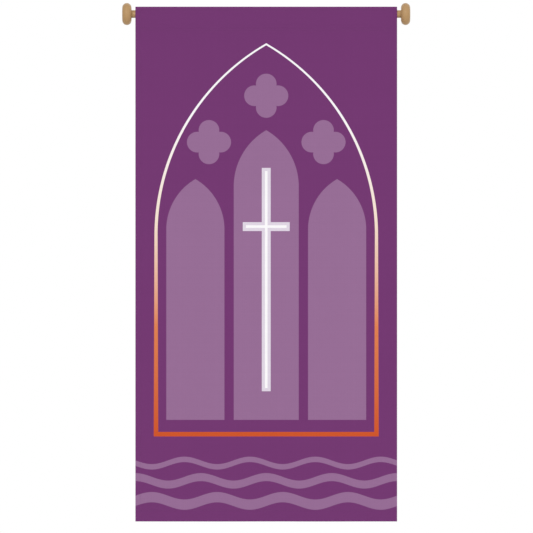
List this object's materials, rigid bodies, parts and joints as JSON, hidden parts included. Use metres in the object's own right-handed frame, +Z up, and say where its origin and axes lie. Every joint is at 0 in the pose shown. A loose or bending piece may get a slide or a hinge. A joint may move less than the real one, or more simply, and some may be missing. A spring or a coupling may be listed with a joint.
{
  "type": "church banner with wooden hanging rod",
  "caption": "Long printed cloth banner with hemmed sides and foot and a sewn sleeve at the back, hanging from a round wooden rod with rounded end discs.",
  "frame": {"origin": "middle of the rod, on its axis, midway between its two bare necks", "axes": "+X along the rod to the right seen from the printed front, +Y to the back of the banner, +Z up"},
  "size_m": [1.006, 0.077, 1.8115],
  "materials": {
    "cloth": "woven polyester with a matt dye print, purple ground with lilac, white and orange",
    "wood": "turned hardwood, clear satin varnish"
  },
  "bodies": {
    "root": {"banner_cloth": "cloth", "rod": "wood", "end_disc_right": "wood", "end_disc_left": "wood"}
  },
  "joints": []
}
